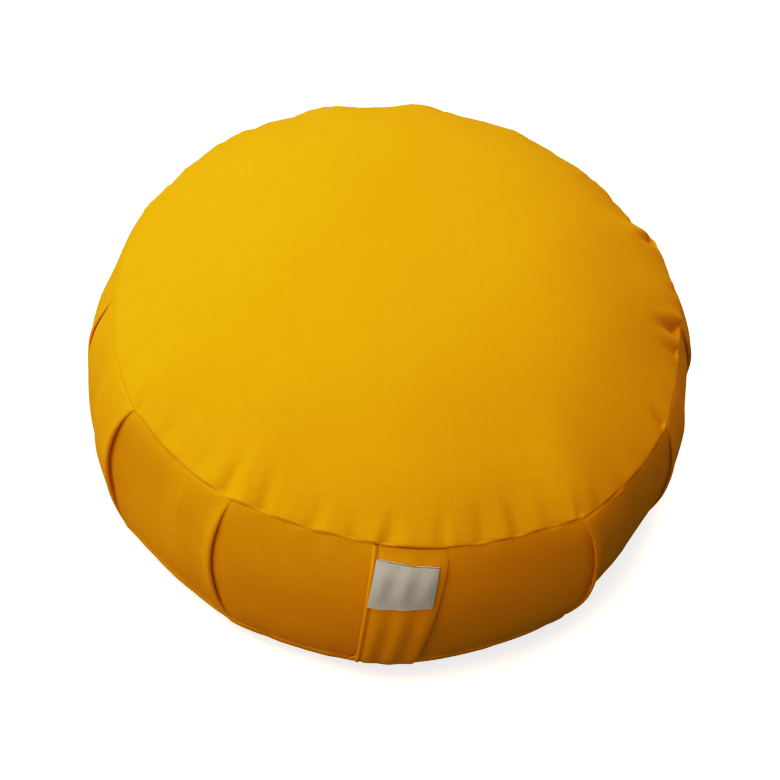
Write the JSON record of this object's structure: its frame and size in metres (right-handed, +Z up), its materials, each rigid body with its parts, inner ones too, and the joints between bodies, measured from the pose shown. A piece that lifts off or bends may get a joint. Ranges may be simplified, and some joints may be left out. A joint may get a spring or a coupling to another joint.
{
  "type": "zafu meditation cushion",
  "caption": "Round filled floor cushion for sitting meditation, with a domed top, a pleated side band, a flat carry strap down the front and a small woven label on the strap.",
  "frame": {"origin": "centre of the flat base, on the surface that the cushion rests on", "axes": "+Z is up, -Y is the side that the carry strap faces, and +X is to the right of the strap seen from the front"},
  "size_m": [0.347, 0.3494, 0.173],
  "materials": {
    "canvas": "matte plain-weave cotton canvas, golden yellow",
    "label_cloth": "pale grey woven tape"
  },
  "bodies": {
    "root": {"cushion": "canvas", "carry_strap": "canvas", "strap_label": "label_cloth"}
  },
  "joints": []
}
